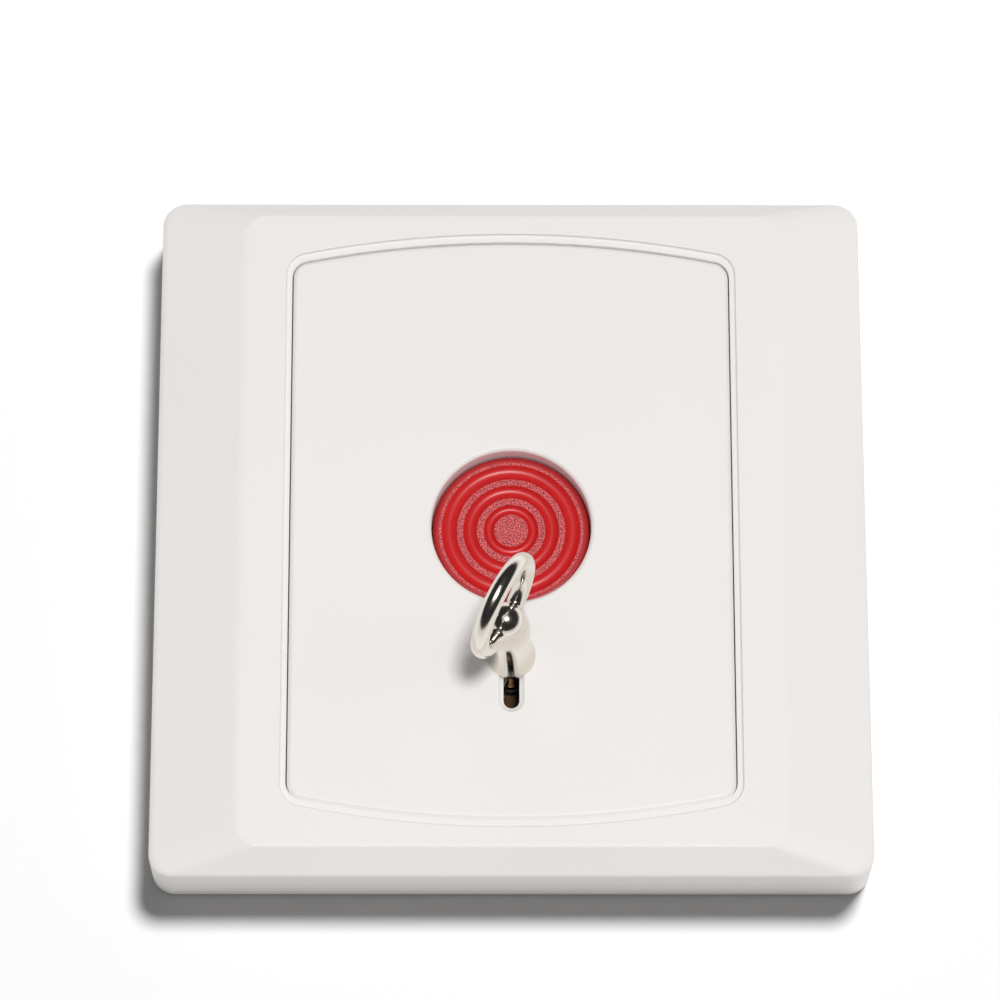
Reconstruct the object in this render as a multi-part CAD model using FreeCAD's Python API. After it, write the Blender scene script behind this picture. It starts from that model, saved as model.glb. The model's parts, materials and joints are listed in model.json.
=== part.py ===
import FreeCAD, Part
import math
import os

# Key-reset panic button on a square wall plate. Millimetres, +Z out of the face.
# The origin is the centre of the back plane, +Y is up on the wall, and +X is to the right.
V = FreeCAD.Vector
UP = V(0, 0, 1)

# Wall plate frame
plate_side = 86.0
plate_corner_r = 2.8
rim_z = 8.7
plateau_z = 11.7
bevel_side = 10.4
bevel_end = 2.8
ridge_side_r = 4.0
ridge_end_r = 0.5
frame_wall = 2.0
rim_edge_r = 0.9
foot_edge_r = 0.3
gusset_wall = 1.0
gusset_reach = 3.0
gusset_z = 3.4
gusset_offsets = (8.0, 32.0)

# Opening of the frame, with the shallow recess that runs round it
opening_half_x = 26.8
opening_apex_y = 36.85
opening_arc_r = 125.0
opening_corner_r = 2.2
least_corner_r = 0.6
lip_width = 0.7
lip_end_width = 0.95
lip_depth = 0.45
lip_root_r = 0.25
lip_edge_r = 0.1
opening_rim_wall = 1.4
opening_rim_z = 6.2

# Centre panel
panel_gap = 0.13
panel_end_gap = 0.07
panel_z = 11.2
panel_wall = 1.8
panel_skirt_wall = 1.5
panel_edge_r = 0.6
mouth_edge_r = 0.5
panel_rib_wall = 1.2
panel_rib_depth = 1.0

# Push button
button_r = 9.5
button_gap = 0.15
button_z = 9.2
button_travel = 2.2
button_crown = 1.5
button_skirt = 2.6
button_skirt_wall = 1.3
button_edge_r = 0.5
groove_depth = 0.5
groove_bands = [(2.07, 3.3), (4.15, 5.8), (6.57, 8.4)]
flange_width = 1.3
flange_thick = 1.0
flange_root = 0.4
sleeve_wall = 1.5
sleeve_gap = 0.05
stem_r = 2.0
stem_end_gap = 0.2

# Key
key_shank_r = 2.0
key_collar_r = 2.9
key_collar_rim = 0.5
key_flare_r = 2.55
key_waist_r = 2.42
key_dome_r = 2.35
key_turn_deg = -28.0
key_lean_deg = 4.0
key_bit_r = 6.1
key_bit_thick = 1.4
key_bit_height = 2.8
key_shank_end = 0.4
key_pilot_r = 1.0
key_neck_length = 12.2
key_flare_share = 0.15
key_waist_share = 0.35
key_bit_edge_r = 0.3
bow_r = 5.7
bow_wire_r = 1.08
bow_sink = 0.3
bow_blend_r = 0.35
keyhole_gap = 0.08
keyhole_boss_wall = 2.2
key_slot_half = 0.95
key_slot_reach = 6.4
keyhole_chamfer = 0.6

# Base plate
base_thick = 1.8
base_gap = 0.3
base_rib_wall = 1.2
base_rib_margin = 2.0
mount_pitch = 60.0
mount_slot_r = 2.2
mount_slot_length = 8.0
snap_width = 8.0
snap_reach = 0.8
snap_height = 1.2
snap_offset = 20.0
seat_gap = 0.1

# Screw posts
post_r = 2.2
post_foot_z = 3.0
post_margin = 2.4
panel_post_margin = 1.6
housing_post_y = 20.0
screw_r = 0.9
screw_head_r = 1.8
screw_head_thick = 1.2
screw_length = 6.0
screw_head_z = 0.2
screw_hole_gap = 0.2
screw_recess_gap = 0.35
head_round_share = 0.4
cross_arm_share = 0.55
cross_half_share = 0.13
cross_depth_share = 0.5

# Mechanism housing
housing_half_x = 20.0
housing_corner_r = 1.5
housing_floor_z = 0.4
housing_floor = 1.0
housing_wall = 1.4
housing_top_gap = 0.2
housing_gap = 0.4
housing_low_margin = 0.2

# Return spring round its guide
spring_r = 5.0
spring_wire_r = 0.3
spring_turns = 4.0
guide_wall = 1.3
guide_top_gap = 0.3
stem_gap = 0.1

# Latch
latch_lift = 0.1
latch_thick = 1.0
latch_ratio = 4.96
latch_left = 5.5
latch_right = 14.5
latch_end_margin = 0.6
latch_fork_gap = 0.4
latch_web = 0.9
bearing_wall = 1.0
bearing_rise = 0.4
lug_offset = 1.2
lug_drop = 0.4
lug_length = 3.8
bit_lift = 2.7
tongue_half = 1.2
tongue_length = 1.2
tongue_gap = 0.2
ledge_gap = 0.1
ledge_side_gap = 0.15
ledge_grip = 0.95
latch_spring_offset = 1.8
spring_tab_half = 1.9
latch_spring_r = 1.3
latch_spring_wire_r = 0.2
latch_spring_turns = 9.0
keeper_x0 = 7.0
keeper_width = 2.4
keeper_thick = 0.8
keeper_low_margin = 2.2
keeper_high_margin = 1.8
keeper_post_r = 1.5
small_screw_r = 0.7
small_screw_length = 2.4
small_head_r = 1.3
small_head_thick = 0.9
rail_wall = 1.0
rail_gap = 0.15
rail_drop = 0.2

# Contacts
strip_thick = 0.5
strip_width = 3.2
bend_r = 0.3
bridge_margin = 4.2
bridge_thick = 0.4
arm_half_x = 2.0
arm_overhang = 0.8
contact_inset = 2.0
contact_r = 1.2
contact_height = 0.5
contact_round = 0.3
contact_gap = 0.05
strip_overhang = 0.2
arm_pin_r = 0.8
pin_overhang = 0.3
clip_r = 1.7
clip_thick = 0.4
pillar_margin = 1.4
pillar_width = 2.4
pillar_gap = 0.8

# Terminals
terminal_side_gap = 0.4
terminal_y = 24.4
terminal_count = 4
tab_z = 3.7
tab_width = 6.4
tab_reach = 3.6
riser_reach = 4.2
bar_thick = 4.4
barrier_wall = 1.2
terminal_screw_r = 1.5
terminal_hole_gap = 0.2
terminal_head_r = 2.75
terminal_head_thick = 1.6
terminal_screw_reach = 3.7
clamp_side = 6.0
clamp_thick = 0.8
drop_wall = 1.2
drop_wall_gap = 0.6

# Cuts run this far past the faces that they open
past = 1.0

# Levels that follow from the sizes above
plate_half = plate_side / 2
panel_under_z = panel_z - panel_wall
housing_top_z = panel_under_z - housing_top_gap
floor_z = housing_floor_z + housing_floor
crown_z = button_z - button_crown
flange_top_z = button_z - button_skirt
flange_z = flange_top_z - flange_thick
stem_bottom_z = floor_z + button_travel + stem_end_gap
guide_top_z = crown_z - button_travel - guide_top_gap
latch_z = floor_z + latch_lift
latch_top_z = latch_z + latch_thick
keeper_z = latch_top_z + latch_lift
ledge_z1 = flange_z - ledge_gap
ledge_z0 = flange_top_z - button_travel + ledge_gap
key_bit_z0 = latch_top_z + bit_lift
key_bit_z1 = key_bit_z0 + key_bit_height
key_shank_z = key_bit_z0 - key_shank_end
bearing_z = latch_top_z + bearing_rise
boss_z = key_bit_z1 + key_shank_end
bridge_z0 = flange_z - bridge_thick
fixed_top_z = flange_z + 2 * contact_height + contact_gap
fixed_low_z = bridge_z0 - button_travel - 2 * contact_height - contact_gap
tab_top_z = tab_z + strip_thick
screw_tip_z = tab_z + terminal_screw_reach

# Radii and places that follow from the sizes above
hole_r = button_r + button_gap
skirt_in_r = button_r - button_skirt_wall
flange_r = button_r + flange_width
tongue_tip_y = -flange_r - tongue_length
ledge_high_y = -flange_r - ledge_side_gap
latch_high_y = tongue_tip_y - tongue_gap
ledge_low_y = latch_high_y - latch_thick
bearing_r = key_pilot_r + bearing_wall
fork_r = bearing_r + latch_fork_gap
key_y = ledge_low_y - latch_web - fork_r
latch_low_y = key_y - key_bit_r - latch_end_margin
latch_shift = latch_ratio * math.radians(key_turn_deg)
latch_spring_y = key_y - latch_spring_offset
keeper_x = keeper_x0 + keeper_width / 2
keeper_ys = (latch_low_y - keeper_low_margin, latch_high_y + keeper_high_margin)
base_half = plate_half - frame_wall - base_gap
base_rib_half = mount_pitch / 2 + mount_slot_length / 2 + base_rib_margin
bridge_y = flange_r + bridge_margin
bridge_low_y = bridge_y - strip_width / 2
bridge_high_y = bridge_y + strip_width / 2
riser_y = terminal_y - riser_reach
bar_low_y = riser_y + strip_thick + bend_r + seat_gap
drop_wall_y = riser_y - drop_wall_gap - drop_wall
tab_end_y = terminal_y + tab_reach
housing_low_y = keeper_ys[0] - keeper_post_r - housing_low_margin - housing_wall
housing_high_y = tab_end_y + housing_wall
inner_x = housing_half_x - housing_wall
post_x = housing_half_x + post_margin
panel_post_y = housing_high_y + panel_post_margin
terminal_pitch = 2 * (inner_x - tab_width / 2 - terminal_side_gap) / (terminal_count - 1)
terminal_xs = [(i - (terminal_count - 1) / 2) * terminal_pitch for i in range(terminal_count)]
pillar_x = terminal_pitch / 2 + tab_width / 2 + pillar_gap
bridge_half_x = pillar_x - pillar_margin
contact_x = bridge_half_x - contact_inset
quarters = [(-1, -1), (1, -1), (1, 1), (-1, 1)]


def box(x0, x1, y0, y1, z0, z1):
    return Part.makeBox(x1 - x0, y1 - y0, z1 - z0, V(x0, y0, z0))


def rod(x, y, z0, z1, r):
    return Part.makeCylinder(r, z1 - z0, V(x, y, z0))


def slot(x0, x1, y, z0, z1, r):
    # A stadium along X with round ends centred on x0 and x1
    middle = box(x0, x1, y - r, y + r, z0, z1)
    return middle.fuse([rod(x0, y, z0, z1, r), rod(x1, y, z0, z1, r)]).removeSplitter()


def edges_where(shape, test):
    return [edge for edge in shape.Edges if test(edge)]


def turned(shape, degrees):
    copy = shape.copy()
    copy.rotate(V(0, 0, 0), UP, degrees)
    return copy


def round_box(x0, x1, y0, y1, z0, z1, r):
    solid = box(x0, x1, y0, y1, z0, z1)
    corners = edges_where(solid, lambda e: abs(e.BoundBox.ZLength - (z1 - z0)) < 1e-6)
    return solid.makeFillet(r, corners)


def round_prism(half_x, half_y, r, z0, z1):
    return round_box(-half_x, half_x, -half_y, half_y, z0, z1, r)


def bent(strip, corners):
    # Rounds the bends of a strip; each corner is the Y and Z of an edge along X, and its radius
    for y, z, r in corners:
        fold = edges_where(strip, lambda e: e.BoundBox.XLength > bend_r
                           and abs(e.BoundBox.YMin - y) + abs(e.BoundBox.YMax - y) < 1e-5
                           and abs(e.BoundBox.ZMin - z) + abs(e.BoundBox.ZMax - z) < 1e-5)
        strip = strip.makeFillet(r, fold)
    return strip


def frustum(half_x0, half_y0, z0, half_x1, half_y1, z1):
    around = quarters + quarters[:1]
    low = Part.makePolygon([V(sx * half_x0, sy * half_y0, z0) for sx, sy in around])
    high = Part.makePolygon([V(sx * half_x1, sy * half_y1, z1) for sx, sy in around])
    return Part.makeLoft([low, high], True, True)


def bowed_wire(grow, end_grow, z):
    # Outline of the opening: straight sides, bowed ends and round corners, grown at sides and ends
    half_x = opening_half_x + grow
    apex = opening_apex_y + end_grow
    big_r = opening_arc_r + grow
    corner_r = max(opening_corner_r + grow, least_corner_r)
    centre_y = apex - big_r
    corner_x = half_x - corner_r
    corner_y = centre_y + math.sqrt((big_r - corner_r) ** 2 - corner_x ** 2)
    reach = big_r / (big_r - corner_r)
    tangent = V(corner_x * reach, centre_y + (corner_y - centre_y) * reach, z)
    half_turn = math.atan2(corner_y - centre_y, corner_x) / 2
    middle = V(corner_x + corner_r * math.cos(half_turn), corner_y + corner_r * math.sin(half_turn), z)
    side = V(half_x, corner_y, z)

    def flip(point, sx, sy):
        return V(point.x * sx, point.y * sy, point.z)

    def corner(sx, sy):
        return Part.Arc(flip(side, sx, sy), flip(middle, sx, sy), flip(tangent, sx, sy)).toShape()

    def end(sy):
        return Part.Arc(flip(tangent, 1, sy), V(0, apex * sy, z), flip(tangent, -1, sy)).toShape()

    edges = [Part.makeLine(flip(side, 1, -1), side), corner(1, 1), end(1), corner(-1, 1),
             Part.makeLine(flip(side, -1, 1), flip(side, -1, -1)), corner(-1, -1), end(-1), corner(1, -1)]
    return Part.Wire(Part.__sortEdges__(edges))


def bowed_prism(grow, z0, z1, end_grow=None):
    wire = bowed_wire(grow, grow if end_grow is None else end_grow, z0)
    return Part.Face(wire).extrude(V(0, 0, z1 - z0))


def coil(radius, wire_r, z0, z1, turns):
    # A helical spring whose wire just touches both seats, swept a quarter turn at a time
    step = (z1 - z0 - 2 * wire_r) / turns / 4
    slope = math.atan2(4 * step, 2 * math.pi * radius)
    along = V(0, math.cos(slope), math.sin(slope))
    section = Part.Wire(Part.makeCircle(wire_r, V(radius, 0, 0), along))
    sweep = Part.Wire(Part.makeHelix(4 * step, step, radius)).makePipeShell([section], True, True)
    pieces = [turned(sweep, 90 * i) for i in range(round(4 * turns))]
    for i, piece in enumerate(pieces):
        piece.translate(V(0, 0, z0 + wire_r + i * step))
    return pieces[0].fuse(pieces[1:]).Solids[0]


def pan_screw(x, y, head_z, head_r, head_thick, shank_r, length, up=True):
    # A pan head with a cross recess; the shank points up or down from the head
    rise = head_z + head_thick
    head = rod(x, y, head_z, rise, head_r)
    rim = edges_where(head, lambda e: abs(e.BoundBox.ZMin - (head_z if up else rise)) < 1e-6
                      and e.BoundBox.ZLength < 1e-6)
    head = head.makeFillet(head_thick * head_round_share, rim)
    shank = rod(x, y, rise, rise + length, shank_r) if up else rod(x, y, head_z - length, head_z, shank_r)
    arm = head_r * cross_arm_share
    half = head_r * cross_half_share
    depth = head_thick * cross_depth_share
    z0, z1 = (head_z - past, head_z + depth) if up else (rise - depth, rise + past)
    cross = box(x - arm, x + arm, y - half, y + half, z0, z1)
    cross = cross.fuse(box(x - half, x + half, y - arm, y + arm, z0, z1))
    return head.fuse(shank).cut(cross)


def ridge_prism(bevel, ridge_r):
    # Two opposite bevels, run on past the walls, that meet the plateau in rounded ridges
    top = plate_half - bevel
    reach = plate_half + past
    eaves_z = rim_z - past * (plateau_z - rim_z) / bevel
    outline = [(-reach, -past), (reach, -past), (reach, eaves_z),
               (top, plateau_z), (-top, plateau_z), (-reach, eaves_z)]
    points = [V(x, -reach, z) for x, z in outline + outline[:1]]
    prism = Part.Face(Part.makePolygon(points)).extrude(V(0, 2 * reach, 0))
    return prism.makeFillet(ridge_r, edges_where(prism, lambda e: e.BoundBox.ZMin > plateau_z - 1e-6
                                                 and e.BoundBox.XLength < 1e-6))


def frame_block():
    # The outer form of the frame: walls with a rounded rim, then bevels up to the plateau
    body = box(-plate_half, plate_half, -plate_half, plate_half, 0, rim_z)
    body = body.fuse(frustum(plate_half, plate_half, rim_z,
                             plate_half - bevel_side, plate_half - bevel_end, plateau_z)).removeSplitter()
    rim = edges_where(body, lambda e: abs(e.BoundBox.ZMin - rim_z) < 1e-6 and e.BoundBox.ZLength < 1e-6)
    body = body.makeFillet(rim_edge_r, rim)
    corners = edges_where(body, lambda e: e.BoundBox.ZMin < 1e-6 and e.BoundBox.ZLength > rim_z / 2)
    body = body.makeFillet(plate_corner_r, corners)
    foot = edges_where(body, lambda e: e.BoundBox.ZMax < 1e-3)
    body = body.makeChamfer(foot_edge_r, foot)
    body = body.common(ridge_prism(bevel_side, ridge_side_r)).removeSplitter()
    return body.common(turned(ridge_prism(bevel_end, ridge_end_r), 90)).removeSplitter()


def lip_pocket():
    # The shallow recess round the opening, with a rounded root
    floor = plateau_z - lip_depth
    pocket = bowed_prism(lip_width, floor, plateau_z + past, lip_end_width)
    return pocket.makeFillet(lip_root_r, edges_where(pocket, lambda e: e.BoundBox.ZMax < floor + 1e-6))


def front_frame():
    # The bevelled shell, its lipped opening, wall gussets and the snap noses over the base plate
    body = frame_block()
    inner = plate_half - frame_wall
    cavity_z = rim_z - frame_wall
    under_z = plateau_z - frame_wall
    cavity = round_prism(inner, inner, plate_corner_r - frame_wall / 2, -past, cavity_z)
    cavity = cavity.fuse(frustum(inner, inner, cavity_z, inner - bevel_side, inner - bevel_end, under_z))
    shell = body.cut(cavity).fuse(bowed_prism(opening_rim_wall, opening_rim_z, under_z))
    shell = shell.cut([bowed_prism(0, opening_rim_z - past, plateau_z + past), lip_pocket()])
    brim = edges_where(shell, lambda e: e.BoundBox.ZMin > plateau_z - 1e-6
                       and max(e.BoundBox.XMax, -e.BoundBox.XMin) < opening_half_x + lip_width + 1e-3
                       and max(e.BoundBox.YMax, -e.BoundBox.YMin) < opening_apex_y + lip_end_width + 1e-3)
    shell = shell.makeFillet(lip_edge_r, brim)
    added = [turned(snap_nose(y), quarter * 90) for quarter in range(4) for y in (-snap_offset, snap_offset)]
    added += [turned(gusset(side * y), quarter * 90).common(body)
              for quarter in range(4) for y in gusset_offsets for side in (-1, 1)]
    return shell.fuse(added).removeSplitter()


def gusset(y):
    # A thin rib that stiffens the right wall under the bevel
    x = plate_half - frame_wall
    half = gusset_wall / 2
    return box(x - gusset_reach, x, y - half, y + half, gusset_z, plateau_z - frame_wall)


def snap_nose(y):
    # A wedge on the frame's right wall, just over the base plate's edge
    z0 = base_thick + seat_gap
    x = plate_half - frame_wall
    outline = [(x, z0), (x - snap_reach, z0), (x - snap_reach, z0 + snap_height / 2), (x, z0 + snap_height)]
    points = [V(px, y - snap_width / 2, pz) for px, pz in outline + outline[:1]]
    return Part.Face(Part.makePolygon(points)).extrude(V(0, snap_width, 0))


def centre_panel():
    # The panel with its skirt, button sleeve, keyhole boss, cross ribs and screw posts
    face = bowed_prism(-panel_gap, panel_under_z, panel_z, -panel_end_gap)
    face = face.makeFillet(panel_edge_r, edges_where(face, lambda e: e.BoundBox.ZMin > panel_z - 1e-6))
    inside = bowed_prism(-panel_gap - panel_skirt_wall, base_thick, panel_under_z)
    outside = bowed_prism(-panel_gap, base_thick, panel_under_z, -panel_end_gap)
    skirt = outside.cut(inside)
    sleeve_z = flange_top_z + sleeve_gap
    added = [skirt, rod(0, 0, sleeve_z, panel_under_z, hole_r + sleeve_wall)]
    added.append(rod(0, key_y, boss_z, panel_under_z, key_shank_r + keyhole_boss_wall))
    for y in (housing_low_y - panel_gap - panel_rib_wall, housing_high_y + panel_gap):
        rib = box(-opening_half_x, opening_half_x, y, y + panel_rib_wall,
                  panel_under_z - panel_rib_depth, panel_under_z)
        added.append(rib.common(inside))
    for sx, sy in quarters:
        post = rod(sx * post_x, sy * panel_post_y, post_foot_z, panel_under_z, post_r)
        added.append(post.common(outside))
        added.append(rod(sx * post_x, sy * housing_post_y, post_foot_z, panel_under_z, post_r))
    body = face.fuse(added).cut(rod(0, 0, sleeve_z - past, panel_z + past, hole_r))
    mouth = edges_where(body, lambda e: e.BoundBox.ZMin > panel_z - 1e-6
                        and abs(e.BoundBox.XLength - 2 * hole_r) < 1e-3)
    body = body.makeFillet(mouth_edge_r, mouth).cut(keyhole())
    holes = [rod(sx * post_x, sy * y, 0, post_foot_z + screw_length - past, screw_r)
             for sx, sy in quarters for y in (panel_post_y, housing_post_y)]
    return body.cut(holes).removeSplitter()


def keyhole():
    # Round hole for the shank and a slot for the bit, the slot opened out at the face
    end_y = key_y - key_slot_reach + key_slot_half
    low = boss_z - past
    hole = rod(0, key_y, low, panel_z + past, key_shank_r + keyhole_gap)
    hole = hole.fuse(box(-key_slot_half, key_slot_half, end_y, key_y, low, panel_z + past))
    hole = hole.fuse(rod(0, end_y, low, panel_z + past, key_slot_half))
    c = keyhole_chamfer
    hole = hole.fuse(Part.makeCone(key_slot_half, key_slot_half + c, c, V(0, end_y, panel_z - c)))
    sides = [(-key_slot_half, -c), (key_slot_half, -c), (key_slot_half + c, 0), (-key_slot_half - c, 0)]
    points = [V(x, end_y, panel_z + z) for x, z in sides + sides[:1]]
    return hole.fuse(Part.Face(Part.makePolygon(points)).extrude(V(0, key_y - end_y, 0))).removeSplitter()


def push_button():
    # A red cap with ring grooves, a skirt, a stop flange, the latch tongue and the contact arm
    cap = rod(0, 0, flange_z, button_z, button_r)
    cap = cap.makeFillet(button_edge_r, edges_where(cap, lambda e: e.BoundBox.ZMin > button_z - 1e-6))
    for r0, r1 in groove_bands:
        half = (r1 - r0) / 2
        bend = (half ** 2 + groove_depth ** 2) / (2 * groove_depth)
        cap = cap.cut(Part.makeTorus((r0 + r1) / 2, bend, V(0, 0, button_z - groove_depth + bend)))
    cap = cap.fuse(rod(0, 0, flange_z, flange_top_z, flange_r))
    cap = cap.cut(rod(0, 0, flange_z - past, crown_z, skirt_in_r))
    root = skirt_in_r + flange_root
    stem = rod(0, 0, stem_bottom_z, crown_z, stem_r)
    tongue = box(-tongue_half, tongue_half, tongue_tip_y, -root, flange_z, flange_top_z)
    arm = box(-arm_half_x, arm_half_x, root, bridge_high_y + arm_overhang, flange_z, flange_top_z)
    pin = rod(0, bridge_y, bridge_z0 - clip_thick - pin_overhang, flange_z, arm_pin_r)
    return cap.fuse([stem, tongue, arm, pin]).removeSplitter()


def reset_key():
    # Cast key: pilot, shank with its bit, then the flared collar and the ring bow above the panel
    shank = rod(0, 0, key_shank_z, panel_z, key_shank_r)
    pilot = rod(0, 0, floor_z, key_shank_z, key_pilot_r)
    bit = box(0, key_bit_r, -key_bit_thick / 2, key_bit_thick / 2, key_bit_z0, key_bit_z1)
    bit = bit.common(rod(0, 0, key_bit_z0, key_bit_z1, key_bit_r))
    bit = bit.makeFillet(key_bit_edge_r, edges_where(bit, lambda e: e.BoundBox.XLength > key_shank_r))
    handle = key_handle()
    handle.rotate(V(0, 0, panel_z), V(1, 0, 0), key_lean_deg)
    above = box(-plate_half, plate_half, -plate_half, plate_half, panel_z, panel_z + plate_half)
    key = shank.fuse([pilot, bit, handle.common(above)]).removeSplitter()
    key.rotate(V(0, 0, 0), UP, key_turn_deg - 90)
    key.translate(V(0, key_y, 0))
    return key


def key_handle():
    # The flared neck with its domed end, and the bow in the plane of the bit
    def at(r, share):
        return V(r, 0, panel_z + key_neck_length * share)

    rim = V(key_collar_r, 0, panel_z + key_collar_rim)
    foot = V(0, 0, panel_z - key_collar_rim)
    edge = V(key_collar_r, 0, panel_z - key_collar_rim)
    side = at(key_dome_r, 1)
    top = panel_z + key_neck_length
    crown = V(0, 0, top + key_dome_r)
    flare = Part.BSplineCurve()
    flare.interpolate([rim, at(key_flare_r, key_flare_share), at(key_waist_r, key_waist_share), side])
    half = math.sqrt(0.5) * key_dome_r
    dome = Part.Arc(side, V(half, 0, top + half), crown)
    outline = [Part.makeLine(foot, edge), Part.makeLine(edge, rim), flare.toShape(), dome.toShape(),
               Part.makeLine(crown, foot)]
    neck = Part.Face(Part.Wire(outline)).revolve(V(0, 0, 0), UP, 360)
    bow = Part.makeTorus(bow_r, bow_wire_r, V(0, 0, top - bow_sink + bow_r), V(0, 1, 0))
    handle = neck.fuse(bow)

    def at_bow_root(joint):
        on_bow = [isinstance(face.Surface, Part.Toroid) for face in handle.ancestorsOfType(joint, Part.Face)]
        return any(on_bow) and not all(on_bow)

    return handle.makeFillet(bow_blend_r, edges_where(handle, at_bow_root))


def base_plate():
    # Mounting plate: wall-box slots, stiffening rib, screw pads and the window round the mechanism
    plate = round_prism(base_half, base_half, plate_corner_r - frame_wall / 2, 0, base_thick)
    half = base_rib_half - base_rib_wall
    rib = round_prism(base_rib_half, base_rib_half, plate_corner_r, base_thick, post_foot_z)
    rib = rib.cut(round_prism(half, half, plate_corner_r - base_rib_wall, base_thick, post_foot_z))
    rib = rib.cut(bowed_prism(housing_gap, base_thick, post_foot_z))
    within = bowed_prism(-2 * panel_gap - panel_skirt_wall, base_thick, post_foot_z)
    pads = [rod(sx * post_x, sy * panel_post_y, base_thick, post_foot_z, post_r).common(within)
            for sx, sy in quarters]
    plate = plate.fuse([rib] + pads)
    gap = housing_gap
    low, high = -past, post_foot_z + past
    x = housing_half_x + gap
    cuts = [box(-x, x, housing_low_y - gap, housing_high_y + gap, low, high)]
    reach = post_r + gap
    for side in (-1, 1):
        y = side * housing_post_y
        cuts.append(box(-post_x - reach, post_x + reach, y - reach, y + reach, low, high))
        x = side * mount_pitch / 2
        half = mount_slot_length / 2 - mount_slot_r
        cuts.append(slot(x - half, x + half, 0, low, high, mount_slot_r))
    for sx, sy in quarters:
        x, y = sx * post_x, sy * panel_post_y
        cuts.append(rod(x, y, low, high, screw_r + screw_hole_gap))
        cuts.append(rod(x, y, low, screw_head_z + screw_head_thick, screw_head_r + screw_recess_gap))
    return plate.cut(cuts).removeSplitter()


def mechanism_housing():
    # Open tray with ears, spring guide, latch rails, key bearing, contact pillars and terminal comb
    tray = round_box(-housing_half_x, housing_half_x, housing_low_y, housing_high_y,
                     housing_floor_z, housing_top_z, housing_corner_r)
    low, high = housing_low_y + housing_wall, housing_high_y - housing_wall
    tray = tray.cut(box(-inner_x, inner_x, low, high, floor_z, housing_top_z + past))
    tray = tray.cut(box(-inner_x, inner_x, bar_low_y, high, 0, floor_z))
    tray = tray.fuse(housing_ears() + latch_guides() + contact_supports() + terminal_comb())
    cuts = [rod(0, 0, floor_z, guide_top_z + past, stem_r + stem_gap)]
    cuts.append(rod(0, key_y, floor_z - seat_gap, bearing_z + past, key_pilot_r + keyhole_gap))
    cuts += [rod(keeper_x, y, keeper_z - small_screw_length + keeper_thick, keeper_z + past, small_screw_r)
             for y in keeper_ys]
    cuts += [rod(x, terminal_y, tab_z, screw_tip_z + terminal_hole_gap, terminal_screw_r + terminal_hole_gap)
             for x in terminal_xs]
    half = tab_width / 2 + seat_gap
    cuts += [box(x - half, x + half, drop_wall_y, drop_wall_y + drop_wall, floor_z, fixed_low_z + seat_gap)
             for x in terminal_xs[1:-1]]
    cuts += [rod(sx * post_x, sy * housing_post_y, 0, post_foot_z + past, screw_r + screw_hole_gap)
             for sx, sy in quarters]
    return tray.cut(cuts).removeSplitter()


def housing_ears():
    ears = []
    z0 = housing_floor_z + screw_head_thick
    for sx, sy in quarters:
        y = sy * housing_post_y
        x0, x1 = sorted((sx * inner_x, sx * post_x))
        ears.append(rod(sx * post_x, y, z0, post_foot_z, post_r))
        ears.append(box(x0, x1, y - post_r, y + post_r, z0, post_foot_z))
    return ears


def latch_guides():
    # Rails beside the slide, the key's lower bearing, the keeper's posts and the button's guide
    guides = [rod(0, 0, floor_z, guide_top_z, stem_r + stem_gap + guide_wall),
              rod(0, key_y, floor_z, bearing_z, bearing_r)]
    for y in (latch_low_y - rail_gap - rail_wall, latch_high_y + rail_gap):
        guides.append(box(-inner_x, inner_x, y, y + rail_wall, floor_z, latch_top_z - rail_drop))
    return guides + [rod(keeper_x, y, floor_z, keeper_z, keeper_post_r) for y in keeper_ys]


def contact_supports():
    # The wall and the two pillars that carry the upper contacts
    supports = [box(-inner_x, inner_x, drop_wall_y, drop_wall_y + drop_wall, floor_z, fixed_top_z)]
    for side in (-1, 1):
        x0, x1 = sorted(side * (pillar_x + extra) for extra in (0, pillar_width))
        supports.append(box(x0, x1, bridge_low_y, bridge_high_y, floor_z, fixed_top_z))
    return supports


def terminal_comb():
    # The bar over the terminal tabs and the barriers between them
    y0, y1 = bar_low_y, housing_high_y - housing_wall
    comb = [box(-inner_x, inner_x, y0, y1, tab_top_z, tab_top_z + bar_thick)]
    half = barrier_wall / 2
    for x in terminal_xs[:-1]:
        centre = x + terminal_pitch / 2
        comb.append(box(centre - half, centre + half, y0, y1, housing_floor_z, tab_top_z))
    return comb


def return_spring():
    return coil(spring_r, spring_wire_r, floor_z, crown_z, spring_turns)


def latch_slide():
    # Stamped brass slide: forked plate, bit lug, spring tab and the stepped ledge over the tongue
    t = latch_thick
    left = -latch_left
    base = box(left, latch_right, latch_low_y, latch_high_y, latch_z, latch_top_z)
    base = base.cut(slot(0, latch_right + fork_r, key_y, latch_z, latch_top_z, fork_r))
    lug_y = key_y - key_bit_r - lug_drop
    lug = box(-lug_offset - t, -lug_offset, lug_y, lug_y + lug_length, latch_top_z, key_bit_z1 - lug_drop)
    tab = box(left, left + t, latch_spring_y - spring_tab_half, latch_spring_y + spring_tab_half,
              latch_top_z, latch_top_z + 2 * latch_spring_r)
    riser = box(left + t, ledge_grip, ledge_low_y, ledge_low_y + t, latch_top_z, ledge_z1)
    ledge = box(left + t, ledge_grip, ledge_low_y, ledge_high_y, ledge_z0, ledge_z1)
    slide = base.fuse([lug, tab, riser, ledge]).removeSplitter()
    slide = bent(slide, [(ledge_low_y, ledge_z1, bend_r + t), (ledge_low_y, latch_top_z, bend_r)])
    slide.translate(V(latch_shift, 0, 0))
    return slide


def latch_spring():
    # Compression spring along X between the tray wall and the slide's tab
    length = inner_x - latch_left + latch_shift
    spring = coil(latch_spring_r, latch_spring_wire_r, 0, length, latch_spring_turns)
    spring.rotate(V(0, 0, 0), V(0, 1, 0), 90)
    spring.translate(V(-inner_x, latch_spring_y, floor_z + latch_spring_r + latch_spring_wire_r + seat_gap))
    return spring


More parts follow.
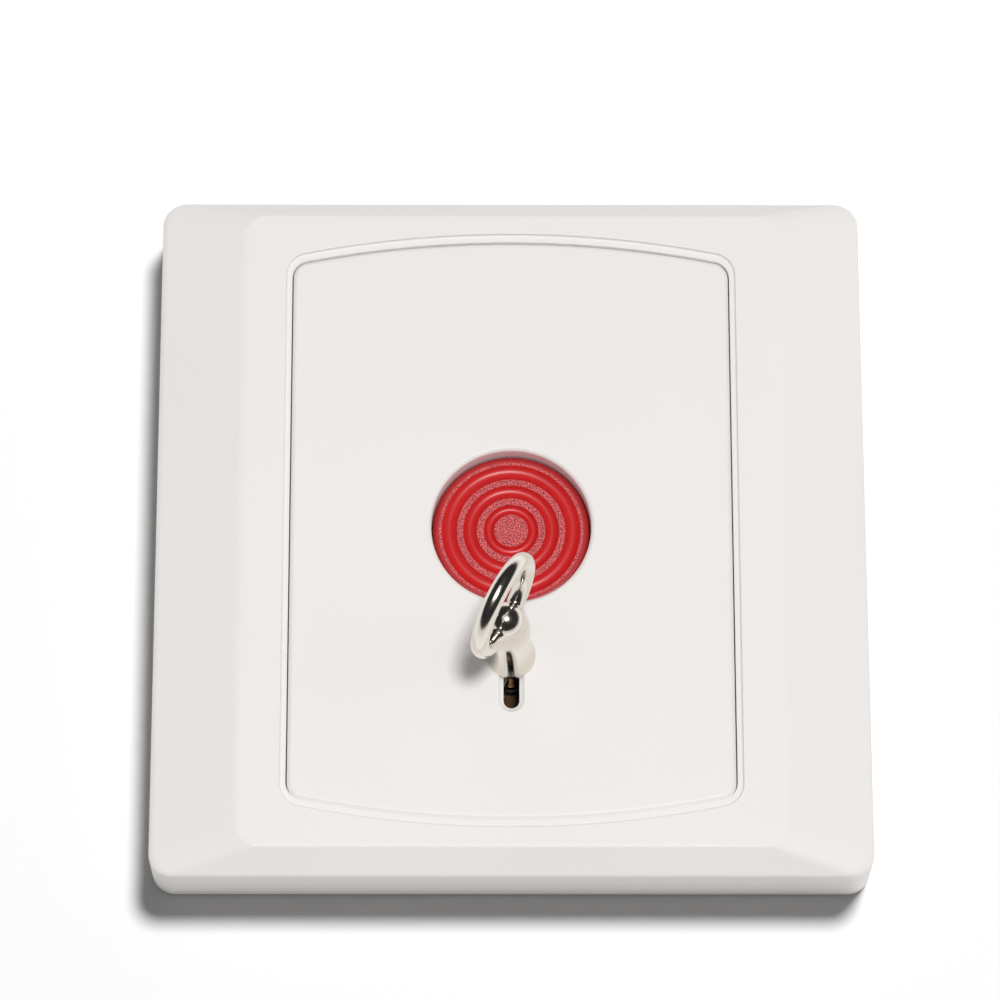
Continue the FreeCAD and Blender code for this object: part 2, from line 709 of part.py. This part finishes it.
def latch_keeper():
    low, high = keeper_ys[0] - keeper_post_r, keeper_ys[1] + keeper_post_r
    strap = box(keeper_x0, keeper_x0 + keeper_width, low, high, keeper_z, keeper_z + keeper_thick)
    return strap.cut([rod(keeper_x, y, keeper_z, keeper_z + keeper_thick, small_screw_r) for y in keeper_ys])


def keeper_screws():
    return Part.makeCompound([pan_screw(keeper_x, y, keeper_z + keeper_thick, small_head_r, small_head_thick,
                                        small_screw_r, small_screw_length, False) for y in keeper_ys])


def contact_bridge():
    strip = box(-bridge_half_x, bridge_half_x, bridge_low_y, bridge_high_y, bridge_z0, flange_z)
    return strip.cut(rod(0, bridge_y, bridge_z0, flange_z, arm_pin_r))


def contact_dome(x, z, up):
    # A silver contact point: a short disc with a rounded face
    z0 = z if up else z - contact_height
    tip = z0 + contact_height if up else z0
    dome = rod(x, bridge_y, z0, z0 + contact_height, contact_r)
    rim = edges_where(dome, lambda e: abs(e.BoundBox.ZMin - tip) < 1e-6 and e.BoundBox.ZLength < 1e-6)
    return dome.makeFillet(contact_round, rim)


def contact_domes(levels):
    return Part.makeCompound([contact_dome(side * contact_x, z, up) for side in (-1, 1) for z, up in levels])


def bridge_clip():
    # Push-on washer that keeps the bridge on the arm's pin
    z0 = bridge_z0 - clip_thick
    return rod(0, bridge_y, z0, bridge_z0, clip_r).cut(rod(0, bridge_y, z0, bridge_z0, arm_pin_r))


def upper_contact(side):
    # Normally closed strip: over the bridge, out to the side, down to its terminal
    x = side * abs(terminal_xs[0])
    z0, z1 = fixed_top_z, fixed_top_z + strip_thick
    low, high = x - tab_width / 2, x + tab_width / 2
    x0, x1 = sorted((side * (contact_x - contact_r - strip_overhang), x + side * tab_width / 2))
    arm = box(x0, x1, bridge_low_y, bridge_high_y, z0, z1)
    run = box(low, high, bridge_low_y, riser_y + strip_thick, z0, z1)
    drop = box(low, high, riser_y, riser_y + strip_thick, tab_z, z1)
    strip = arm.fuse([run, drop, terminal_tab(low, high)]).removeSplitter()
    outer = riser_y + strip_thick
    strip = bent(strip, [(riser_y, z0, bend_r), (outer, z1, bend_r + strip_thick),
                         (outer, tab_top_z, bend_r), (riser_y, tab_z, bend_r + strip_thick)])
    return strip.cut(rod(x, terminal_y, tab_z, tab_top_z, terminal_screw_r))


def lower_contact(side):
    # Normally open strip: along the floor under the bridge, up to its terminal
    x = side * abs(terminal_xs[1])
    z0 = fixed_low_z - strip_thick
    low, high = x - tab_width / 2, x + tab_width / 2
    run = box(low, high, bridge_low_y, riser_y + strip_thick, z0, fixed_low_z)
    riser = box(low, high, riser_y, riser_y + strip_thick, z0, tab_top_z)
    strip = run.fuse([riser, terminal_tab(low, high)]).removeSplitter()
    outer = riser_y + strip_thick
    strip = bent(strip, [(riser_y, fixed_low_z, bend_r), (outer, z0, bend_r + strip_thick),
                         (outer, tab_z, bend_r), (riser_y, tab_top_z, bend_r + strip_thick)])
    return strip.cut(rod(x, terminal_y, tab_z, tab_top_z, terminal_screw_r))


def terminal_tab(low, high):
    return box(low, high, riser_y, tab_end_y, tab_z, tab_top_z)


def clamp_plates():
    z0 = tab_z - clamp_thick
    half = clamp_side / 2
    plates = [box(x - half, x + half, terminal_y - half, terminal_y + half, z0, tab_z) for x in terminal_xs]
    holes = [rod(x, terminal_y, z0, tab_z, terminal_screw_r) for x in terminal_xs]
    return Part.makeCompound([plate.cut(hole) for plate, hole in zip(plates, holes)])


def terminal_screws():
    head_z = tab_z - clamp_thick - terminal_head_thick
    return Part.makeCompound([pan_screw(x, terminal_y, head_z, terminal_head_r, terminal_head_thick,
                                        terminal_screw_r, clamp_thick + terminal_screw_reach)
                              for x in terminal_xs])


def post_screws(y, head_z):
    return Part.makeCompound([pan_screw(sx * post_x, sy * y, head_z, screw_head_r, screw_head_thick,
                                        screw_r, screw_length) for sx, sy in quarters])


def build():
    return {
        "front_frame": front_frame(),
        "centre_panel": centre_panel(),
        "push_button": push_button(),
        "reset_key": reset_key(),
        "base_plate": base_plate(),
        "mechanism_housing": mechanism_housing(),
        "return_spring": return_spring(),
        "latch_slide": latch_slide(),
        "latch_spring": latch_spring(),
        "latch_keeper": latch_keeper(),
        "keeper_screws": keeper_screws(),
        "contact_bridge": contact_bridge(),
        "bridge_contacts": contact_domes([(flange_z, True), (bridge_z0, False)]),
        "bridge_clip": bridge_clip(),
        "fixed_contacts": contact_domes([(fixed_top_z, False), (fixed_low_z, True)]),
        "upper_contact_left": upper_contact(-1),
        "upper_contact_right": upper_contact(1),
        "lower_contact_left": lower_contact(-1),
        "lower_contact_right": lower_contact(1),
        "clamp_plates": clamp_plates(),
        "terminal_screws": terminal_screws(),
        "panel_screws": post_screws(panel_post_y, screw_head_z),
        "housing_screws": post_screws(housing_post_y, housing_floor_z),
    }


os.makedirs("parts", exist_ok=True)
for name, shape in build().items():
    print(name, shape.isValid(), len(shape.Solids), round(shape.Volume, 1))
    shape.exportStep("parts/" + name + ".step")
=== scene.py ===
import json
import math

import bpy
from mathutils import Euler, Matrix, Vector


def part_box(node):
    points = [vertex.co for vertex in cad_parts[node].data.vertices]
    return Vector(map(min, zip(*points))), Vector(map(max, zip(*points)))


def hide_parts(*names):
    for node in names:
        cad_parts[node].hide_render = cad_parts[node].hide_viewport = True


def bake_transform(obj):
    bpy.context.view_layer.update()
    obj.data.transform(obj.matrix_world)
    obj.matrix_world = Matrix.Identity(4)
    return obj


# Looks of a key-reset panic button lying on a pale floor. Metres, in the frame's own axes.
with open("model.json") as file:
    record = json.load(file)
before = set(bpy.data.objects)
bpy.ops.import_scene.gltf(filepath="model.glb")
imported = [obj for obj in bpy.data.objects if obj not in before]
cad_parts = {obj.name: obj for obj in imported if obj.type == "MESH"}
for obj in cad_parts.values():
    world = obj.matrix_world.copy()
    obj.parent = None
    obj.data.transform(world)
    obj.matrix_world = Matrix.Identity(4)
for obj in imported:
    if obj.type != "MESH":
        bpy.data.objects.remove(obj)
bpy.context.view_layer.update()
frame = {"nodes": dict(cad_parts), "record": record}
NODES = frame["nodes"]
MM = 0.001

# Camera with a long lens, looking down from the front edge. Lens and sensor are in millimetres.
CAMERA_PLACE = (-4.27 * MM, -194.40 * MM, 570.40 * MM)
CAMERA_TILT = (math.radians(19.464), math.radians(-0.283), math.radians(-0.046))
CAMERA_LENS = 176.75
CAMERA_SENSOR = 36.0
CAMERA_CLIP = (0.01, 20.0)

# Lamps stand on a wide dome round the object: azimuth clockwise from +Y, elevation and width in
# degrees, brightness, the one group that they light, and whether gloss mirrors them
LAMP_AIM = Vector((0, 0, 8 * MM))
LAMP_DISTANCE = 3.0
LAMPS = {
    "floor_lamp": (30.5, 64.5, 15, 1.57, "floor", True),
    "object_lamp": (146, 81, 8, 0.62, "object", True),
    "soft_box": (270, 87, 34, 0.08, "object", True),
    "left_fill": (270, 15, 40, 0.05, "object", False),
    "back_fill": (0, 15, 40, 0.06, "object", False),
    "right_fill": (90, 15, 40, 0.13, "object", False),
}

# Room: even where it lights dull surfaces. Camera, gloss and glass see a dim vault with a pale band
# over the horizon, whose edge fades between two elevations in degrees.
ROOM_EVEN = 0.22
ROOM_DIM = 0.025
BAND_LEVEL = 0.9
BAND_TOP, BAND_FADE = 4, 15

FLOOR_SIDE = 6.0
FLOOR_SHADE = 0.62

# Colours are 8-bit display colours, and most surfaces drift between two of them
WHITE_TONES = ((243, 240, 237), (240, 236, 233))
# Paler white painted on the seam's walls as painted light
SEAM_PAINTED_LIGHT = (254, 253, 252)
RED_TONES = ((212, 31, 33), (198, 24, 28))
# Dark red and pale pink specks on the lands: painted glints of sheen on the grain
RED_PAINTED_GLINTS = ((138, 12, 22), (248, 108, 111))
# Deeper red of the rim and skirt: painted shade from the hole's wall
RED_RIM_SHADE = (172, 24, 27)
BLACK_TONES = ((38, 38, 40), (52, 52, 54))

# Roughness of each plastic, least and most, and for red that of the lands and of the grooves
WHITE_ROUGH = (0.44, 0.52)
RED_ROUGH = (0.42, 0.36)
BLACK_ROUGH = (0.45, 0.62)

# Height of each plastic's grain, and how much of it shows on the red lands and grooves
WHITE_GRAIN = 0.004 * MM
RED_GRAIN = 0.05 * MM
BLACK_GRAIN = 0.01 * MM
RED_GRAIN_SHARE = (1.0, 0.12)

# Two tones, least and most roughness, scale of the grain and its height in millimetres
METALS = {
    "nickel": ((236, 231, 222), (226, 219, 208), 0.13, 0.20, 2400, 0.002),
    "brass": ((206, 174, 108), (178, 146, 84), 0.26, 0.40, 3000, 0.005),
    # Brass painted dark: painted shade for the slide deep in the keyhole
    "dull_brass": ((84, 64, 40), (58, 44, 28), 0.30, 0.45, 3000, 0.005),
    "silver_contact": ((232, 230, 226), (205, 203, 198), 0.25, 0.40, 3500, 0.005),
    "zinc_steel": ((206, 208, 210), (178, 181, 186), 0.28, 0.42, 2600, 0.006),
    "spring_steel": ((160, 160, 162), (128, 128, 132), 0.25, 0.40, 3200, 0.006),
}

# Most values of a noise lie in the first range, and its clear specks of painted glint come from the
# second
NOISE_RANGE = (0.3, 0.7)
GLINT_SPECK_RANGE = (0.45, 0.57)

# Painted light: white plastic inside the panel's opening is painted paler between these heights and
# within these half sides
SEAM_TOP = (10.9 * MM, 11.1 * MM)
SEAM_FOOT = (8.0 * MM, 8.5 * MM)
SEAM_HALVES = (27.0 * MM, 37.0 * MM)

# Radii in millimetres on the button's face where it is smooth: the grooves, the plain rim and the
# skirt. The rim and the skirt are painted a deeper red, as painted shade from the hole's wall.
# Edges of these rings are blurred by RING_SOFT.
SMOOTH_RINGS = [(2.07, 3.3), (4.15, 5.8), (6.57, 8.4), (8.75, 9.26), (9.48, 30.0)]
SHADED_RIM_RING = [(8.80, 30.0)]
RING_SOFT = 0.07

X_AXIS, Z_AXIS = 0, 2


def srgb(r, g, b):
    """Linear colour of an 8-bit display colour."""
    linear = [((c / 255 + 0.055) / 1.055) ** 2.4 if c > 10 else c / 255 / 12.92 for c in (r, g, b)]
    return (*linear, 1.0)


class Shader:
    """A node tree with short calls to add and join nodes."""

    def __init__(self, tree, bsdf=None):
        self.tree = tree
        self.bsdf = bsdf

    @classmethod
    def of_material(cls, name):
        material = bpy.data.materials.new(name)
        material.use_nodes = True
        shader = cls(material.node_tree, material.node_tree.nodes["Principled BSDF"])
        shader.material = material
        return shader

    def add(self, kind, **settings):
        node = self.tree.nodes.new(kind)
        for key, value in settings.items():
            setattr(node, key, value)
        return node

    def join(self, source, target):
        """Join an output to an input, or set the input where the source is a plain value."""
        if isinstance(source, bpy.types.NodeSocket):
            self.tree.links.new(source, target)
        else:
            target.default_value = source

    def coords(self):
        return self.add("ShaderNodeTexCoord").outputs["Object"]

    def noise(self, scale, detail, rough=0.5):
        node = self.add("ShaderNodeTexNoise")
        for name, number in (("Scale", scale), ("Detail", detail), ("Roughness", rough)):
            node.inputs[name].default_value = number
        self.join(self.coords(), node.inputs["Vector"])
        return node.outputs["Fac"]

    def spread(self, value, low, high, to_low, to_high, smooth=False):
        """The range from low to high, drawn over the range from to_low to to_high."""
        kind = "SMOOTHSTEP" if smooth else "LINEAR"
        node = self.add("ShaderNodeMapRange", interpolation_type=kind)
        self.join(value, node.inputs["Value"])
        ends = (("From Min", low), ("From Max", high), ("To Min", to_low), ("To Max", to_high))
        for name, number in ends:
            self.join(number, node.inputs[name])
        return node.outputs["Result"]

    def math(self, kind, first, second):
        node = self.add("ShaderNodeMath", operation=kind)
        self.join(first, node.inputs[0])
        self.join(second, node.inputs[1])
        return node.outputs[0]

    def blend(self, value, first, second):
        """The first colour where the value is 0 and the second where it is 1."""
        node = self.add("ShaderNodeMix", data_type="RGBA")
        for source, place in ((value, 0), (first, 6), (second, 7)):
            self.join(source, node.inputs[place])
        return node.outputs[2]

    def drift(self, scale, detail, tones):
        """A slow change between two tones."""
        return self.blend(self.noise(scale, detail), srgb(*tones[0]), srgb(*tones[1]))

    def bump(self, height, distance, strength=1.0):
        node = self.add("ShaderNodeBump")
        node.inputs["Distance"].default_value = distance
        self.join(strength, node.inputs["Strength"])
        self.join(height, node.inputs["Height"])
        return node.outputs["Normal"]

    def finish(self, colour, roughness, normal, metallic=0.0):
        parts = ((colour, "Base Color"), (roughness, "Roughness"), (normal, "Normal"))
        for source, name in (*parts, (metallic, "Metallic")):
            self.join(source, self.bsdf.inputs[name])
        return self.material


def seam_painted_light_mask(s):
    """1 where light is painted: on the walls of the panel's seam, mouth and keyhole, and on hidden
    sides behind them.
    """
    place = s.add("ShaderNodeSeparateXYZ")
    s.join(s.coords(), place.inputs[0])
    total = s.spread(place.outputs["Z"], *SEAM_TOP, 1.0, 0.0)
    total = s.math("MULTIPLY", total, s.spread(place.outputs["Z"], *SEAM_FOOT, 0.0, 1.0))
    for axis, half in zip("XY", SEAM_HALVES):
        away = s.math("ABSOLUTE", place.outputs[axis], 0.0)
        total = s.math("MULTIPLY", total, s.math("LESS_THAN", away, half))
    return total


def white_plastic():
    """Satin moulded plastic, faintly warm, with slight tone shifts and a very fine surface.

    The seam's walls are painted paler: painted light for light through the plastic's thin edges."""
    s = Shader.of_material("white_plastic")
    # The seam's walls get painted light: a paler white
    tone = s.blend(seam_painted_light_mask(s), s.drift(38, 2, WHITE_TONES), srgb(*SEAM_PAINTED_LIGHT))
    polish = s.spread(s.noise(900, 3), *NOISE_RANGE, *WHITE_ROUGH)
    return s.finish(tone, polish, s.bump(s.noise(2600, 3, 0.6), WHITE_GRAIN))


def radius_mask(s, bands):
    """1 inside the given rings about the Z axis, 0 outside. Millimetres."""
    flat = s.add("ShaderNodeVectorMath", operation="MULTIPLY")
    s.join(s.coords(), flat.inputs[0])
    flat.inputs[1].default_value = (1 / MM, 1 / MM, 0)
    length = s.add("ShaderNodeVectorMath", operation="LENGTH")
    s.join(flat.outputs[0], length.inputs[0])
    total = 0.0
    for low, high in bands:
        middle, half = (low + high) / 2, (high - low) / 2
        away = s.math("ABSOLUTE", s.math("SUBTRACT", length.outputs["Value"], middle), 0.0)
        inside = s.spread(away, half - RING_SOFT, half + RING_SOFT, 1.0, 0.0, smooth=True)
        total = s.math("ADD", inside, total)
    return total


def red_plastic():
    """Red moulded plastic: painted glint specks on lands, smooth deep red grooves, painted shade on
    the rim.
    """
    s = Shader.of_material("red_plastic")
    smooth = radius_mask(s, SMOOTH_RINGS)
    # Specks of painted glint: pale pink sheen on the lands
    glint_specks = s.spread(s.noise(6400, 2, 0.7), *GLINT_SPECK_RANGE, 0.0, 1.0, smooth=True)
    lands = s.blend(glint_specks, srgb(*RED_PAINTED_GLINTS[0]), srgb(*RED_PAINTED_GLINTS[1]))
    tone = s.blend(smooth, lands, s.drift(160, 3, RED_TONES))
    # The rim and skirt get painted shade: a deeper red
    tone = s.blend(radius_mask(s, SHADED_RIM_RING), tone, srgb(*RED_RIM_SHADE))
    polish = s.spread(smooth, 0.0, 1.0, *RED_ROUGH)
    share = s.spread(smooth, 0.0, 1.0, *RED_GRAIN_SHARE)
    return s.finish(tone, polish, s.bump(s.noise(5200, 3, 0.65), RED_GRAIN, share))


def black_plastic():
    """Matt moulded plastic, near black."""
    s = Shader.of_material("black_plastic")
    polish = s.spread(s.noise(700, 3), *NOISE_RANGE, *BLACK_ROUGH)
    normal = s.bump(s.noise(3000, 3, 0.6), BLACK_GRAIN)
    return s.finish(s.drift(120, 3, BLACK_TONES), polish, normal)


def metal(name, light, dark, rough_low, rough_high, grain, depth):
    """Bare or plated metal: tone and polish drift over the surface, with a fine grain."""
    s = Shader.of_material(name)
    polish = s.spread(s.noise(grain / 4, 3), *NOISE_RANGE, rough_low, rough_high)
    normal = s.bump(s.noise(grain, 3, 0.6), depth * MM)
    return s.finish(s.drift(90, 4, (light, dark)), polish, normal, metallic=1.0)


def dress_nodes():
    """Give each node the material of its slot in the record.

    The slide under the keyhole is the one exception: its brass is painted dark as painted shade,
    and a little rougher."""
    materials = {
        "white_plastic": white_plastic(),
        "red_plastic": red_plastic(),
        "black_plastic": black_plastic(),
    }
    for name, values in METALS.items():
        materials[name] = metal(name, *values)
    slots = {row["node"]: row["material_slot"] for row in frame["record"]["subparts"]}
    # Painted shade: the slide under the keyhole gets the dark brass
    slots["latch_slide"] = "dull_brass"
    for name, node in NODES.items():
        node.data.materials.clear()
        node.data.materials.append(materials[slots[name]])


def live_spring(node, axis):
    """A still copy of a coil spring, shown in place of the hidden node."""
    piece = bpy.data.objects.new(node + "_coil", NODES[node].data.copy())
    bpy.context.scene.collection.objects.link(piece)
    start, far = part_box(node)
    end = start.copy()
    end[axis] = far[axis]
    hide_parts(node)
    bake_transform(piece)
    return piece


def dome_point(azimuth, elevation):
    """The place on the lamps' dome, seen from its middle."""
    a, e = math.radians(azimuth), math.radians(elevation)
    way = Vector((math.sin(a) * math.cos(e), math.cos(a) * math.cos(e), math.sin(e)))
    return LAMP_DISTANCE * way


def add_lamp(name, azimuth, elevation, width, brightness, receivers, mirrored):
    """A round soft lamp. At brightness 1 a white sheet that faces it shows white."""
    data = bpy.data.lights.new(name, "AREA")
    data.shape = "DISK"
    data.size = 2 * LAMP_DISTANCE * math.tan(math.radians(width / 2))
    data.energy = brightness * (math.pi * LAMP_DISTANCE) ** 2
    lamp = bpy.data.objects.new(name, data)
    lamp.location = LAMP_AIM + dome_point(azimuth, elevation)
    lamp.rotation_euler = (LAMP_AIM - lamp.location).to_track_quat("-Z", "Y").to_euler()
    bpy.context.scene.collection.objects.link(lamp)
    lamp.light_linking.receiver_collection = bpy.data.collections[receivers]
    lamp.visible_glossy = mirrored


def receiver_groups(floor, extras):
    """The collections that a lamp's light is kept to."""
    for name, members in (("floor", [floor]), ("object", list(NODES.values()) + extras)):
        group = bpy.data.collections.new(name)
        for member in members:
            group.objects.link(member)


def add_room():
    world = bpy.data.worlds.new("room")
    bpy.context.scene.world = world
    world.use_nodes = True
    s = Shader(world.node_tree)
    way = s.add("ShaderNodeTexCoord").outputs["Generated"]
    height = s.add("ShaderNodeSeparateXYZ")
    s.join(way, height.inputs[0])
    band_ends = [math.sin(math.radians(angle)) for angle in (BAND_TOP, BAND_FADE)]
    vault = s.spread(height.outputs["Z"], *band_ends, BAND_LEVEL, ROOM_DIM, smooth=True)
    ray = s.add("ShaderNodeLightPath").outputs
    seen = s.math("MAXIMUM", ray["Is Camera Ray"], ray["Is Glossy Ray"])
    seen = s.math("MAXIMUM", seen, ray["Is Transmission Ray"])
    back = s.tree.nodes["Background"]
    back.inputs["Color"].default_value = (1.0, 1.0, 1.0, 1.0)
    s.join(s.spread(seen, 0.0, 1.0, ROOM_EVEN, vault), back.inputs["Strength"])
    # The world differs by kind of ray, so it is left to the rays and not sampled as a lamp
    world.cycles.sampling_method = "NONE"


def add_floor():
    half = FLOOR_SIDE / 2
    corners = [(-half, -half, 0), (half, -half, 0), (half, half, 0), (-half, half, 0)]
    mesh = bpy.data.meshes.new("floor")
    mesh.from_pydata(corners, [], [(0, 1, 2, 3)])
    floor = bpy.data.objects.new("floor", mesh)
    bpy.context.scene.collection.objects.link(floor)
    s = Shader.of_material("floor")
    s.tree.nodes.remove(s.bsdf)
    plain = s.add("ShaderNodeBsdfDiffuse")
    plain.inputs["Color"].default_value = (FLOOR_SHADE, FLOOR_SHADE, FLOOR_SHADE, 1.0)
    s.join(plain.outputs[0], s.tree.nodes["Material Output"].inputs["Surface"])
    mesh.materials.append(s.material)
    return floor


def add_camera():
    data = bpy.data.cameras.new("camera")
    data.lens = CAMERA_LENS
    data.sensor_width = CAMERA_SENSOR
    data.clip_start, data.clip_end = CAMERA_CLIP
    camera = bpy.data.objects.new("camera", data)
    camera.location = CAMERA_PLACE
    camera.rotation_euler = Euler(CAMERA_TILT, "XYZ")
    bpy.context.scene.collection.objects.link(camera)
    bpy.context.scene.camera = camera


dress_nodes()
springs = [
    live_spring("latch_spring", X_AXIS),
    live_spring("return_spring", Z_AXIS),
]
receiver_groups(add_floor(), springs)
for lamp_name, lamp_values in LAMPS.items():
    add_lamp(lamp_name, *lamp_values)
add_room()
add_camera()
bpy.context.scene.view_settings.view_transform = "Standard"
